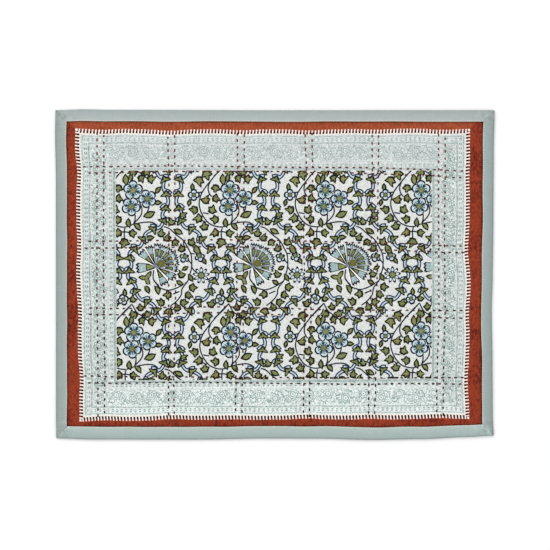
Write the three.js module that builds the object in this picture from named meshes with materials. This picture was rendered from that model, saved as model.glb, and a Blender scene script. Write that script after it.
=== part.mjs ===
// Quilted cotton placemat: a printed, quilted panel with a folded binding, mitred at the corners.
// Millimetres, +X to the right, +Y away from the diner, +Z up.
// The origin is on the table, under the middle of the mat's box.
import * as THREE from "three";

// The box that the mat fills on the table
const matWidth = 460;
const matDepth = 346;

// Cloth: the binding's folded strip, the panel's edge pressed flat inside it, and the room between pieces
const bindingCloth = 0.8;
const panelEdgeThickness = 1.2;
const pieceGap = 0.3;
const matThickness = 2 * (bindingCloth + pieceGap) + panelEdgeThickness;

// Binding: how wide it shows on each side, front and back alike, and its turns round the mat.
// A turn of 0 is the side nearest the diner; each further quarter turn is the next side anticlockwise.
const bindingSides = [
  { name: "binding_bottom", turn: 0, width: 13.3, stations: 26 },
  { name: "binding_right", turn: 1, width: 11.7, stations: 20 },
  { name: "binding_top", turn: 2, width: 12.3, stations: 26 },
  { name: "binding_left", turn: 3, width: 11.9, stations: 20 },
];
const rimRadius = matThickness / 2;
const rimSteps = 5;

// Panel: where its edge lies inside the binding, where it comes clear of it, and how it falls to the table
const panelEdgeInset = 1.8;
const clearOfBinding = 13.9;
const fallLength = 11;

// Quilting: pairs of hand-sewn rows, with the cloth puffed up between them
const pairGap = 7;
const rowHeight = 1.7;
const puffHeight = 3;
const pairPuff = 0.3; // the ridge between the two rows of a pair, as a share of a full puff
const stepsPerCell = 5;
const stepsPerMargin = 3;
const columnRows = [
  { left: -182.4, right: -182.4 },
  { left: -107.7, right: -107.7 },
  { left: -36.4, right: -36.4 },
  { left: 34.2, right: 34.2 },
  { left: 103.8, right: 103.8 },
  { left: 174.4, right: 174.4 },
];
const crossRows = [
  { left: -109.6, right: -111.1 },
  { left: -38.5, right: -41.5 },
  { left: 31.3, right: 26.4 },
  { left: 109.7, right: 104.9 },
];

// How far the sewing has drawn each edge in from the box, by the place along it
const drawReach = 40;
const drawnIn = {
  left: [
    { at: -173, by: 1.2 },
    { at: -150, by: 1 },
    { at: 0, by: 1 },
    { at: 94, by: 0.9 },
    { at: 151, by: 0 },
    { at: 173, by: 0.4 },
  ],
  right: [
    { at: -173, by: 1 },
    { at: -150, by: 1.9 },
    { at: -95, by: 2.2 },
    { at: -37, by: 3 },
    { at: 0, by: 2 },
    { at: 57, by: 1.3 },
    { at: 132, by: 0.9 },
    { at: 173, by: 0 },
  ],
  top: [
    { at: -228, by: 0.9 },
    { at: -199, by: 0 },
    { at: -174, by: 0.5 },
    { at: 0, by: 1 },
    { at: 228, by: 0.9 },
  ],
  bottom: [
    { at: -228, by: 1.6 },
    { at: -190, by: 0.5 },
    { at: -80, by: 0.4 },
    { at: -10, by: 1.5 },
    { at: 45, by: 1.4 },
    { at: 102, by: 0 },
    { at: 152, by: 0.8 },
    { at: 203, by: 3 },
    { at: 228, by: 4.4 },
  ],
};

const materials = {
  panel: { color: "#9ba198", roughness: 0.9, metalness: 0 },
  binding: { color: "#a6b7b3", roughness: 0.9, metalness: 0 },
};

// A table's value at a place, easing from each row to the next
function valueAt(rows, place) {
  const next = rows.findIndex((row) => row.at > place);
  if (next === 0) return rows[0].by;
  if (next < 0) return rows[rows.length - 1].by;
  const [a, b] = [rows[next - 1], rows[next]];
  return THREE.MathUtils.lerp(a.by, b.by, THREE.MathUtils.smoothstep(place, a.at, b.at));
}

// Moves a point of the true rectangle to where the sewing has drawn it
function drawIn(x, y) {
  const share = (fromEdge) => 1 - THREE.MathUtils.smoothstep(fromEdge, 0, drawReach);
  const fromLeft = valueAt(drawnIn.left, y) * share(matWidth / 2 + x);
  const fromRight = valueAt(drawnIn.right, y) * share(matWidth / 2 - x);
  const fromTop = valueAt(drawnIn.top, x) * share(matDepth / 2 - y);
  const fromBottom = valueAt(drawnIn.bottom, x) * share(matDepth / 2 + y);
  return [x + fromLeft - fromRight, y + fromBottom - fromTop];
}

// Grid lines across the panel: its edge, the fall from the binding, then each margin, pair and cell in turn.
// Each line has a place at both of its ends, and how far the cloth puffs up along it.
function gridLines(pairs, halfSpan) {
  const lines = [panelEdgeInset, (panelEdgeInset + clearOfBinding) / 2, clearOfBinding].map((inset) => ({
    left: -halfSpan + inset,
    right: -halfSpan + inset,
    puff: 0,
  }));
  const far = lines.map(({ left, puff }) => ({ left: -left, right: -left, puff })).reverse();
  pairs.forEach(({ left, right }, i) => {
    const nearRow = { left: left - pairGap / 2, right: right - pairGap / 2, puff: 0 };
    const farRow = { left: left + pairGap / 2, right: right + pairGap / 2, puff: 0 };
    fill(lines, nearRow, i === 0 ? stepsPerMargin : stepsPerCell);
    lines.push(nearRow, { left, right, puff: pairPuff }, farRow);
  });
  fill(lines, far[0], stepsPerMargin);
  return [...lines, ...far];
}

// Adds the lines from the last one to another, puffed up in the crown of a sine
function fill(lines, to, steps) {
  const from = lines[lines.length - 1];
  for (let i = 1; i < steps; i++) {
    const share = i / steps;
    lines.push({
      left: THREE.MathUtils.lerp(from.left, to.left, share),
      right: THREE.MathUtils.lerp(from.right, to.right, share),
      puff: Math.sqrt(Math.sin(Math.PI * share)),
    });
  }
}

// The quilted panel: a box of grid lines, flat underneath, lifted over the binding's back at its edge
function quiltedPanel() {
  const columns = gridLines(columnRows, matWidth / 2);
  const courses = gridLines(crossRows, matDepth / 2);
  const geometry = new THREE.BoxGeometry(1, 1, 1, columns.length - 1, courses.length - 1, 1);
  const position = geometry.attributes.position;
  for (let i = 0; i < position.count; i++) {
    const column = columns[Math.round((position.getX(i) + 0.5) * (columns.length - 1))];
    const course = courses[Math.round((position.getY(i) + 0.5) * (courses.length - 1))];
    const x = column.left;
    const y = THREE.MathUtils.lerp(course.left, course.right, x / matWidth + 0.5);
    const fromEdge = Math.min(matWidth / 2 - Math.abs(x), matDepth / 2 - Math.abs(y));
    const fallen = THREE.MathUtils.smoothstep(fromEdge, clearOfBinding, clearOfBinding + fallLength);
    const underside = (bindingCloth + pieceGap) * (1 - fallen);
    const quilted = THREE.MathUtils.lerp(rowHeight, puffHeight, column.puff * course.puff);
    const topside = THREE.MathUtils.lerp(matThickness - bindingCloth - pieceGap, quilted, fallen);
    position.setXYZ(i, ...drawIn(x, y), position.getZ(i) > 0 ? topside : underside);
  }
  return geometry;
}

// The binding's folded section, as pairs of an outer and an inner point: in from the mat's edge, and up
function foldedSection(width) {
  const outer = [];
  const inner = [];
  const add = (inset, height, radius, angle) => {
    outer.push([inset - radius * Math.sin(angle), height - radius * Math.cos(angle)]);
    inner.push([
      inset - (radius - bindingCloth) * Math.sin(angle),
      height - (radius - bindingCloth) * Math.cos(angle),
    ]);
  };
  add(width, rimRadius, rimRadius, 0);
  add(width / 2, rimRadius, rimRadius, 0);
  for (let i = 0; i <= rimSteps; i++) add(rimRadius, rimRadius, rimRadius, (Math.PI * i) / rimSteps);
  add(width / 2, rimRadius, rimRadius, Math.PI);
  add(width, rimRadius, rimRadius, Math.PI);
  return { outer, inner };
}

// One length of binding: the folded section carried along a side, its ends cut to the mitres
function bindingLength(side) {
  const { outer, inner } = foldedSection(side.width);
  const folds = outer.length - 1;
  const [span, across] = side.turn % 2 ? [matDepth, matWidth] : [matWidth, matDepth];
  const neighbour = (step) => bindingSides[(side.turn + step + 4) % 4].width;
  const mitreGap = pieceGap / Math.SQRT2;
  const middle = new THREE.Vector2();
  const point = new THREE.Vector2();
  const geometry = new THREE.BoxGeometry(1, 1, 1, side.stations, folds, 1);
  const position = geometry.attributes.position;
  for (let i = 0; i < position.count; i++) {
    const line = position.getZ(i) > 0 ? outer : inner;
    const [inset, height] = line[Math.round((position.getY(i) + 0.5) * folds)];
    const start = -span / 2 + (inset * neighbour(-1)) / side.width + mitreGap;
    const end = span / 2 - (inset * neighbour(1)) / side.width - mitreGap;
    const along = THREE.MathUtils.lerp(start, end, position.getX(i) + 0.5);
    point.set(along, inset - across / 2).rotateAround(middle, (side.turn * Math.PI) / 2);
    position.setXYZ(i, ...drawIn(point.x, point.y), height);
  }
  return geometry;
}

function piece(name, geometry, finish) {
  const mesh = new THREE.Mesh(geometry, new THREE.MeshStandardMaterial(finish));
  mesh.name = name;
  return mesh;
}

const placemat = new THREE.Group();
placemat.add(piece("quilted_panel", quiltedPanel(), materials.panel));
for (const side of bindingSides) {
  placemat.add(piece(side.name, bindingLength(side), materials.binding));
}

export default placemat;
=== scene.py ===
from functools import partialmethod

import bpy
import numpy as np
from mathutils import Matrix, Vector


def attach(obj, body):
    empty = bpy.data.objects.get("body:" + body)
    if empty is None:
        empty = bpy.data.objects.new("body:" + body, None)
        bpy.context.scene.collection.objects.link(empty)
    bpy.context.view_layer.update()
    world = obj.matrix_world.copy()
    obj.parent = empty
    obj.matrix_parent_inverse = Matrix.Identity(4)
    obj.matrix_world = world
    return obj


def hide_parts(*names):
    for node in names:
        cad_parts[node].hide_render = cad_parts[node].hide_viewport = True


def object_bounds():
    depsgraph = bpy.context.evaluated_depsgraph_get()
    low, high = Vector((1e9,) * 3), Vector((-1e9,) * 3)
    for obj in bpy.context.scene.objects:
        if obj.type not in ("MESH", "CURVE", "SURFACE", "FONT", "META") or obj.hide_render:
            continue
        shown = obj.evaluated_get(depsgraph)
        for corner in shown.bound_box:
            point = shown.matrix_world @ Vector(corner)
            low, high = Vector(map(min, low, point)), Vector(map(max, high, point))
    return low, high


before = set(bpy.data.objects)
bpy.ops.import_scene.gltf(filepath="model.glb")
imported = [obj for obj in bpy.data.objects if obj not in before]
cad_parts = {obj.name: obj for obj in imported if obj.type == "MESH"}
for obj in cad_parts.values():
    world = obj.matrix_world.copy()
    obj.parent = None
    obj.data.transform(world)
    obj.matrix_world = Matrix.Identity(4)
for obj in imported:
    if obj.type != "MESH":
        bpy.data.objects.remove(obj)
cadLow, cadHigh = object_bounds()
mm = 0.001

mat = {
    "width": round((cadHigh.x - cadLow.x) / mm),
    "depth": round((cadHigh.y - cadLow.y) / mm),
    "thickness": (cadHigh.z - cadLow.z) / mm,
    "bindingCloth": 0.8,
    "pieceGap": 0.3,
    "drawReach": 40,            # how far in from an edge the sewing's pull is felt
    "drawnInLeft": [(-173, 1.2), (-150, 1), (0, 1), (94, 0.9), (151, 0), (173, 0.4)],   # (place, how far in)
    "drawnInRight": [(-173, 1), (-150, 1.9), (-95, 2.2), (-37, 3), (0, 2), (57, 1.3), (132, 0.9), (173, 0)],
    "drawnInTop": [(-228, 0.9), (-199, 0), (-174, 0.5), (0, 1), (228, 0.9)],
    "drawnInBottom": [(-228, 1.6), (-190, 0.5), (-80, 0.4), (-10, 1.5), (45, 1.4), (102, 0), (152, 0.8),
                      (203, 3), (228, 4.4)],
}
halfWidth, halfDepth = mat["width"] / 2, mat["depth"] / 2


# Eases from 0 at low to 1 at high along 3t^2 - 2t^3.
def ease(value, low, high):
    share = np.clip((value - low) / (high - low), 0, 1)
    return share * share * (3 - 2 * share)


# A table's value at each place: it eases from one row to the next.
def valueAt(rows, place):
    at, by = np.array(rows, float).T
    upper = np.clip(np.searchsorted(at, place, side="right"), 1, len(at) - 1)
    return by[upper - 1] + (by[upper] - by[upper - 1]) * ease(place, at[upper - 1], at[upper])


# Moves plan points to where the sewing has drawn them: each edge's pull fades out over drawReach.
def drawIn(x, y):
    share = lambda fromEdge: 1 - ease(fromEdge, 0, mat["drawReach"])
    left = valueAt(mat["drawnInLeft"], y) * share(halfWidth + x)
    right = valueAt(mat["drawnInRight"], y) * share(halfWidth - x)
    top = valueAt(mat["drawnInTop"], x) * share(halfDepth - y)
    bottom = valueAt(mat["drawnInBottom"], x) * share(halfDepth + y)
    return x + left - right, y + bottom - top


# Gentle unevenness from about -1 to 1: six sine waves, each a little longer than the last and turned from it by the
# golden angle.
def waver(x, y, length, phase=0.0):
    goldenAngle = 2.4
    total = 0
    for k in range(6):
        turn = goldenAngle * k + phase
        reach = length * (0.75 + 0.15 * k)
        total = total + np.sin((x * np.cos(turn) + y * np.sin(turn)) * 2 * np.pi / reach + 1.7 * k + phase)
    return total / 3.2


quilting = {
    "columns": [                # each upright row, from the left: (height on the mat, place across it)
        [(-126, -185.1), (-45, -185.6), (-35, -186.2), (30, -186.3), (114, -186.1)],
        [(-122, -178.2), (-105, -177.9), (-48, -178.8), (30, -179.5), (112, -179.0)],
        [(-144, -111.2), (-27, -111.1), (103, -110.8), (138, -111.9)],
        [(-145, -105.3), (-115, -105.8), (-58, -104.8), (-20, -103.9), (31, -104.4), (137, -104.8)],
        [(-143, -41.2), (-120, -40.7), (110, -38.8), (145, -39.3)],
        [(-143, -34.4), (-55, -33.1), (36, -32.7), (143, -32.0)],
        [(-143, 29.9), (-115, 30.3), (-10, 31.4), (36, 30.2), (110, 33.0), (142, 31.8)],
        [(-143, 36.2), (-47, 37.8), (36, 37.1), (110, 39.7), (142, 38.9)],
        [(-143, 98.1), (0, 100.5), (110, 102.1), (143, 101.8)],
        [(-143, 104.5), (-118, 105.5), (70, 107.8), (140, 108.6)],
        [(-123, 169.5), (-102, 170.1), (-45, 171.8), (119, 171.4)],
        [(-121, 176.3), (-106, 176.6), (-30, 178.3), (38, 177.6), (110, 178.3)],
    ],
    "courses": [                # each crossing row, from the bottom: (place across the mat, height on it)
        [(-197, -113.3), (-165, -113.8), (-110, -113.0), (-50, -113.2), (30, -114.1), (88, -115.0), (140, -114.0),
         (192, -114.6)],
        [(-197, -106.1), (-170, -106.9), (20, -107.7), (112, -108.2), (196, -107.9)],
        [(-198, -41.6), (-166, -42.1), (-56, -39.9), (0, -42.0), (75, -43.4), (115, -43.4), (196, -45.7)],
        [(-198, -35.0), (-166, -35.6), (-90, -34.0), (-52, -33.8), (0, -35.2), (60, -37.0), (196, -37.7)],
        [(-198, 27.7), (-93, 28.7), (-60, 29.7), (0, 27.3), (48, 27.1), (100, 26.0), (196, 23.0)],
        [(-198, 34.8), (-100, 35.7), (-58, 36.5), (-10, 35.7), (136, 32.4), (168, 30.4), (196, 29.8)],
        [(-200, 106.4), (-90, 107.9), (-25, 108.1), (70, 106.5), (150, 104.2), (196, 101.4)],
        [(-200, 112.9), (-99, 113.7), (-45, 113.1), (30, 112.2), (100, 111.9), (166, 109.8), (198, 108.4)],
    ],
    "rowHeight": 1.7,
    "puff": 1.35,
    "puffReach": 8.5,           # how quickly the cloth rises from a row
    "rowReach": (200, 148.5),   # the rows run as far as the comb's foot, across and up
    "pitch": 7.05,
    "stitch": 3.6,
    "pucker": 0.2,
    "puckerReach": 3.2,
    "sag": (0.22, 52, 0.4),     # slow unevenness of the puffs: height, length and phase
    "ripple": (0.09, 17, 2.0),  # and a quicker one of the whole face
    "stray": 0.35,              # how far a stitch lies off its place along the row
    "tilt": 0.06,               # how far its heading leaves the row's
}


# Where an upright row runs at each height.
def columnAt(row, y):
    return valueAt(quilting["columns"][row], y)


# Where a crossing row runs at each place across the mat.
def courseAt(row, x):
    return valueAt(quilting["courses"][row], x)


# Where along a row the first stitch lies, so that neighbouring rows don't march in step.
def firstStitch(row):
    return quilting["pitch"] * ((0.37 * row + 0.15 * row * row) % 1)


# The quilted face's height. Far from any row it is rowHeight + puff; it falls off exponentially to each row,
# and close to a row it dimples once for each stitch.
def quiltedHeight(x, y):
    columnGap = np.abs(np.array([columnAt(row, y) - x for row in range(len(quilting["columns"]))]))
    courseGap = np.abs(np.array([courseAt(row, x) - y for row in range(len(quilting["courses"]))]))
    nearColumn, nearCourse = columnGap.argmin(0), courseGap.argmin(0)
    toColumn, toCourse = columnGap.min(0), courseGap.min(0)
    rise = (1 - np.exp(-toColumn / quilting["puffReach"])) * (1 - np.exp(-toCourse / quilting["puffReach"]))
    columnPhase = (y - firstStitch(nearColumn)) / quilting["pitch"]
    coursePhase = (x - firstStitch(nearCourse + 3)) / quilting["pitch"]
    dimples = (np.cos(2 * np.pi * columnPhase) * np.exp(-toColumn / quilting["puckerReach"])
               + np.cos(2 * np.pi * coursePhase) * np.exp(-toCourse / quilting["puckerReach"]))
    sag, sagLength, sagPhase = quilting["sag"]
    ripple, rippleLength, ripplePhase = quilting["ripple"]
    uneven = sag * waver(x, y, sagLength, sagPhase) * rise + ripple * waver(x, y, rippleLength, ripplePhase)
    return quilting["rowHeight"] + quilting["puff"] * rise - quilting["pucker"] * dimples + uneven


panel = {
    "edgeInset": 1.8,
    "clearOfBinding": 13.9,
    "fallLength": 11,
    "spacing": 1.5,             # the grid's squares on the printed face
    "undersideLift": 0.45,      # how far a sewn row stands off the table underneath
    "backing": (214, 211, 203),
}


# The panel's two faces at plan points: tucked level inside the binding, then easing down to the quilted shape.
def panelFaces(x, y):
    fromEdge = np.minimum(halfWidth - np.abs(x), halfDepth - np.abs(y))
    fallen = ease(fromEdge, panel["clearOfBinding"], panel["clearOfBinding"] + panel["fallLength"])
    tucked = mat["bindingCloth"] + mat["pieceGap"]
    quilted = quiltedHeight(x, y)
    full = quilting["rowHeight"] + quilting["puff"]
    lift = panel["undersideLift"] * np.clip((full - quilted) / quilting["puff"], 0, 1)
    topside = mat["thickness"] - tucked + (quilted - mat["thickness"] + tucked) * fallen
    underside = tucked + (lift - tucked) * fallen
    return topside, underside


# Puts arrays of points and faces into a new object; each face set has one number of corners.
def makeObject(name, points, faceSets, materials, slots=None):
    mesh = bpy.data.meshes.new(name)
    corners = np.concatenate([faces.ravel() for faces in faceSets]).astype(np.int32)
    sizes = np.concatenate([np.full(len(faces), faces.shape[1]) for faces in faceSets])
    starts = (np.cumsum(sizes) - sizes).astype(np.int32)
    mesh.vertices.add(len(points))
    mesh.vertices.foreach_set("co", (np.asarray(points) * mm).astype(np.float32).ravel())
    mesh.loops.add(len(corners))
    mesh.loops.foreach_set("vertex_index", corners)
    mesh.polygons.add(len(sizes))
    mesh.polygons.foreach_set("loop_start", starts)
    mesh.polygons.foreach_set("use_smooth", np.ones(len(sizes), bool))
    for material in materials:
        mesh.materials.append(material)
    if slots is not None:
        mesh.polygons.foreach_set("material_index", slots.astype(np.int32))
    mesh.update(calc_edges=True)
    made = bpy.data.objects.new(name, mesh)
    bpy.context.scene.collection.objects.link(made)
    return made


# The four-cornered faces of a grid whose points are numbered along its second axis first.
def gridFaces(rows, columns, first=0):
    corner = first + np.arange(rows - 1)[:, None] * columns + np.arange(columns - 1)[None]
    corner = corner.ravel()
    return np.stack([corner, corner + 1, corner + columns + 1, corner + columns], 1)


# Gives a piece its own map, one place for each corner of each face.
def setUv(made, uv):
    layer = made.data.uv_layers.new(name="OFBake")
    layer.data.foreach_set("uv", uv.astype(np.float32).ravel())


# Gives a piece a named set of three numbers for each corner of each face, for its material to read.
def setCornerVector(made, name, values):
    attribute = made.data.attributes.new(name, "FLOAT_VECTOR", "CORNER")
    attribute.data.foreach_set("vector", values.astype(np.float32).ravel())


# The print: where its blocks fell on the cloth. Each edge is a table of (place along the side, the edge's place).
prints = {
    "combLeft": [(-146, -204.8), (-116, -205.5), (-70, -206.6), (-25, -207.7), (10, -208.4), (100, -208.2),
                 (130, -209.4), (155, -208.8)],
    "combRight": [(-146, 204.1), (-125, 203.6), (-95, 203.7), (-50, 205.2), (-12, 205.7), (25, 203.9), (60, 204.2),
                  (115, 205.2), (140, 204.5)],
    "combBottom": [(-205, -154.6), (-160, -153.6), (-80, -152.3), (-62, -152.3), (-35, -153.5), (0, -152.7),
                   (64, -152.3), (114, -152.2), (150, -151.6), (203, -152.7)],
    "combTop": [(-205, 153.1), (-165, 153.0), (-120, 152.1), (-60, 152.7), (60, 152.5), (95, 153.3), (150, 153.3),
                (203, 153.0)],
    "fieldLeft": [(-110, -165.4), (110, -166.5)],
    "fieldRight": [(-110, 164.1), (110, 164.3)],
    "fieldBottom": [(-166, -110.8), (164, -108.9)],
    "fieldTop": [(-166, 108.9), (164, 108.9)],
    "comb": (-208, -153, 204.3, 153),       # the comb's outer edge as the block was cut: left, bottom, right, top
    "field": (-166, -110, 164, 109),
    "rowPull": 1.0,                         # how far a pair of rows draws the comb line in
    "rowPullReach": 13,
    "drift": [(-60, 0.3), (18, 1.4), (58, 2.4), (135, 3.2), (170, 4.2)],    # how far the repeats have crept aside
    "repeat": (101.4, 148.5),
    "repeatPlace": (-106.7, 99.65),         # the first repeat's neck, on the mat's plan
}


# Carries values piecewise in a straight line from one set of places to another; beyond the ends it keeps its scale.
def carry(value, fromPlaces, toPlaces):
    carried = value - fromPlaces[0] + toPlaces[0]
    spans = zip(fromPlaces, fromPlaces[1:], toPlaces, toPlaces[1:])
    for fromLow, fromHigh, toLow, toHigh in spans:
        share = (value - fromLow) / (fromHigh - fromLow)
        carried = np.where(value > fromLow, toLow + share * (toHigh - toLow), carried)
    return np.where(value > fromPlaces[-1], value - fromPlaces[-1] + toPlaces[-1], carried)


# How much the nearest pair of rows pulls an edge in: a bell curve of the gap to it.
def pairPull(gaps):
    return prints["rowPull"] * np.exp(-(np.abs(gaps).min(0) / prints["rowPullReach"]) ** 2)


# A plan point's place on the printing block.
def printPlace(x, y):
    columnPull = pairPull(np.array([columnAt(row, y) - x for row in range(len(quilting["columns"]))]))
    coursePull = pairPull(np.array([courseAt(row, x) - y for row in range(len(quilting["courses"]))]))
    left, bottom, right, top = prints["comb"]
    fieldLeft, fieldBottom, fieldRight, fieldTop = prints["field"]
    across = carry(x, [valueAt(prints["combLeft"], y) + coursePull, valueAt(prints["fieldLeft"], y),
                       valueAt(prints["fieldRight"], y), valueAt(prints["combRight"], y) - coursePull],
                   [left, fieldLeft, fieldRight, right])
    up = carry(y, [valueAt(prints["combBottom"], x) + columnPull, valueAt(prints["fieldBottom"], x),
                   valueAt(prints["fieldTop"], x), valueAt(prints["combTop"], x) - columnPull],
               [bottom, fieldBottom, fieldTop, top])
    return across, up


# The repeat's chart, in millimetres from the neck between two ribbons, +x right and +y up.
ribbon = {
    "spread": [                 # each node: (how far down the repeat, how far out from its middle line)
        (0, 7.8), (-15.5, 6.3), (-30.1, 6.8), (-43.3, 9.0), (-52.2, 19.7), (-62.4, 30.6), (-72.7, 39.6),
        (-82.2, 45.2), (-95.5, 45.2), (-106.5, 43.4), (-116.7, 38.7), (-127.8, 27.2), (-136.9, 17.3),
    ],
    "hook": [(0.66, -1.9), (0.75, 0.6), (0.81, 2.8), (0.90, 4.0)],     # (share of the link, how far aside)
    "bulge": 2.4,
    "halfWidth": 1.4,
    "line": 1.4,                # the width of its outline
    "leaf": 10.1,               # the size of the leaf that hoods each node
}
vines = [
    [(58.7, 18.5), (49.5, 9.5), (39.5, -2.2), (31.4, -13.2), (28.3, -22.8), (28.8, -30.1), (32.1, -38.2),
     (38.0, -45.5), (44.6, -48.8), (52.1, -49.6), (60.1, -47.0)],
    [(-41.3, -47.0), (-33.2, -38.2), (-31.7, -31.0), (-34.5, -22.5)],
    [(-24.4, -27.5), (-24.6, -30.5), (-26.0, -33.5)],
    [(-41.3, -47.0), (-30.3, -44.8), (-21.5, -44.8), (-16.0, -47.7)],
    [(-49.3, -49.9), (-50.3, -55.0), (-50.1, -61.5)],
    [(-8.5, -49.4), (-3.1, -51.4), (4.2, -58.0), (11.6, -63.9), (16.7, -72.7), (19.7, -80.0), (19.9, -91.8),
     (17.4, -101.3), (15.6, -106.5), (10.1, -113.8), (8.6, -121.0), (4.0, -127.0), (-2.4, -132.1)],
    [(-20.0, -104.3), (-14.9, -111.6), (-10.8, -114.2), (-3.1, -115.6), (7.2, -111.9), (15.6, -106.5)],
    [(-42.7, -130.0), (-38.3, -138.0), (-32.5, -142.4), (-25.9, -147.5)],
    [(-42.7, -130.0), (-50.1, -138.0), (-58.2, -145.3)],
    [(-14.0, -96.0), (-13.2, -103.0), (-12.6, -110.4)],
]
twigs = [
    [(-40.2, -46.0), (-38.9, -42.0), (-38.7, -37.0)],
    [(39.5, -2.2), (37.6, -8.1), (38.2, -13.5), (41.0, -18.0)],
    [(31.4, -13.2), (27.0, -14.0)],
    [(32.1, -34.9), (37.8, -35.8)],
    [(33.8, -44.0), (30.0, -42.5)],
    [(-55.2, -55.4), (-50.2, -54.6), (-44.9, -55.4)],
    [(11.6, -63.9), (11.8, -69.5)],
    [(19.8, -91.0), (22.0, -94.5), (25.5, -97.5)],
    [(18.6, -77.1), (22.8, -77.9)],
    [(6.8, -117.0), (0.5, -119.6)],
    [(-19.6, -95.0), (-20.4, -100.5), (-19.5, -105.5), (-14.0, -111.3)],
    [(19.9, -88.0), (17.0, -84.6)],
    [(35.2, -44.0), (34.0, -47.0)],
]
ivyLeaves = [       # (x, y, the way the tip points in degrees, length)
    (-42.0, 7.3, 180, 8.5), (-27.3, 7.3, 170, 7.5), (-32.8, 1.4, -50, 7.8), (-22.6, 0.7, 0, 8.8),
    (-56.0, -8.8, -100, 8.6), (-56.3, -20.2, 0, 8.4), (-60.0, -32.3, 60, 8.8), (-56.3, -41.9, 180, 8.6),
    (-56.3, -56.2, 175, 8.6), (-42.0, -56.2, 5, 8.4), (-50.5, -65.4, -98, 10.2), (-1.3, -44.8, 90, 8.0),
    (-11.9, -56.9, 80, 8.4), (-5.3, -61.7, 92, 8.0), (2.8, -65.7, -60, 8.0), (10.8, -37.5, 40, 7.6),
    (28.5, -0.8, -100, 10.2), (35.8, 5.8, -75, 10.4), (23.3, -31.6, 190, 9.0), (27.7, -41.1, 172, 9.2),
    (33.6, -49.9, 100, 8.8), (35.4, -22.1, 90, 9.0), (19.7, -66.1, 60, 8.6), (10.1, -72.7, 120, 8.0),
    (9.0, -100.0, 90, 7.8), (20.4, -113.0, 0, 8.4), (16.0, -121.1, 0, 8.4), (10.9, -128.5, -10, 8.4),
    (5.0, -134.3, 120, 8.4), (-3.8, -138.0, -100, 9.0), (-4.6, -120.4, 180, 8.4), (-11.9, -128.5, 170, 8.6),
    (-42.0, -125.5, 80, 7.2), (-33.9, -134.3, 100, 7.6), (-40.5, -140.9, 200, 8.6),
    (-26.6, -140.9, 30, 7.8), (40.2, -130.7, 80, 8.6),
]
armedLeaves = [(-27.4, -103.0, 172, 14.5)]
longLeaves = [      # (x, y, the way the tip points in degrees, length, how far it bends)
    (-48.4, -0.3, 97, 11.5, 0.1), (-43.6, 1.6, 78, 9.0, -0.15), (-45.7, -45.5, 98, 9.5, 0.35),
    (-36.5, -49.2, -48, 9.5, 0.35), (-24.0, -36.7, 22, 12.5, -0.15), (-14.9, -11.1, 52, 8.6, 0.1),
    (-15.2, -24.3, 2, 8.2, 0.1),
    (-23.7, -61.0, 12, 9.0, 0.2), (6.1, -54.4, -28, 10.0, 0.0), (21.1, -8.1, 92, 7.5, 0.0),
    (17.8, -24.3, -100, 7.2, 0.0), (13.1, -92.9, 208, 7.0, 0.0), (18.9, -102.8, -60, 8.4, 0.0),
    (7.2, -107.9, 150, 7.8, 0.1), (-16.0, -115.3, -65, 9.6, 0.5), (-26.6, -114.6, -62, 9.0, 0.2),
    (-50.1, -118.2, 92, 8.0, 0.0), (25.6, -73.6, 118, 12.0, 0.15), (33.0, -85.2, -55, 7.6, 0.1),
]
flowers = [         # (x, y, the way it faces in degrees, radius, petals, style); 0 rose, 1 daisy, 2 core, 3 bell
    (-40.9, -11.3, 18, 10.6, 5, 0), (-25.9, -20.1, 40, 10.0, 5, 0), (-43.0, -28.3, -12, 10.2, 5, 0),
    (22.5, -16.2, 0, 6.4, 4, 0), (-51.9, -125.5, 20, 6.2, 4, 0), (29.9, -100.2, 9, 8.6, 9, 1),
    (13.2, -80.6, -122, 7.1, 5, 3), (28.0, -79.6, -72, 7.1, 5, 3), (-12.0, -87.8, 20, 4.2, 9, 2),
]
fan = {             # the large carnation's petals, all from one hub
    "hub": (-17.5, -90.8),
    "petals": [     # (aim in degrees, length, half its spread in degrees, shape); 1 in the dome, -1 bulging
        (185, 21.3, 15.5, -1), (136, 23.4, 13.0, 0), (109, 23.6, 10.0, 0), (85, 24.8, 10.0, 1), (66, 24.6, 9.5, 1),
        (47, 25.4, 9.5, 1), (28.5, 26.0, 9.2, 1), (10.5, 25.4, 8.8, 1), (-7, 24.0, 8.8, 1), (-31, 23.6, 12.0, 0),
        (-64, 22.0, 13.5, 0),
    ],
    "reach": 29,
    "teeth": (9.5, 0.035),      # how fast a petal's end waves across its spread, and by what share of its length
    "wedge": 0.56,              # the share of a petal's length at which its green wedge ends
    "domeWedge": 0.17,          # how much further out it ends in the closed dome, and how much less in a bulging petal
    "bulgeWedge": 0.09,
    "domeStart": 0.42,          # the share of their length at which the dome's wedges begin
    "stripe": (0.55, 0.09, 0.74),   # a dome petal's strokes: how far aside, half their width, where they end
    "outlineEnd": 2.4,          # the navy edge's width at a petal's end and along its sides
    "outlineSide": 0.75,
    "hubRadius": 1.7,
}


# A line through charted points, as a Catmull-Rom spline of that many steps a span.
def smoothLine(points, steps=5):
    points = np.array(points, float)
    before = np.vstack([2 * points[0] - points[1], points[:-1]])
    after = np.vstack([points[1:], 2 * points[-1] - points[-2]])
    slope = (after - before) / 2
    t = (np.arange(steps) / steps)[None, :, None]
    start, end, slopeIn, slopeOut = points[:-1, None], points[1:, None], slope[:-1, None], slope[1:, None]
    line = ((2 * t**3 - 3 * t**2 + 1) * start + (t**3 - 2 * t**2 + t) * slopeIn
            + (3 * t**2 - 2 * t**3) * end + (t**3 - t**2) * slopeOut)
    return np.vstack([line.reshape(-1, 2), points[-1:]])


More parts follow.
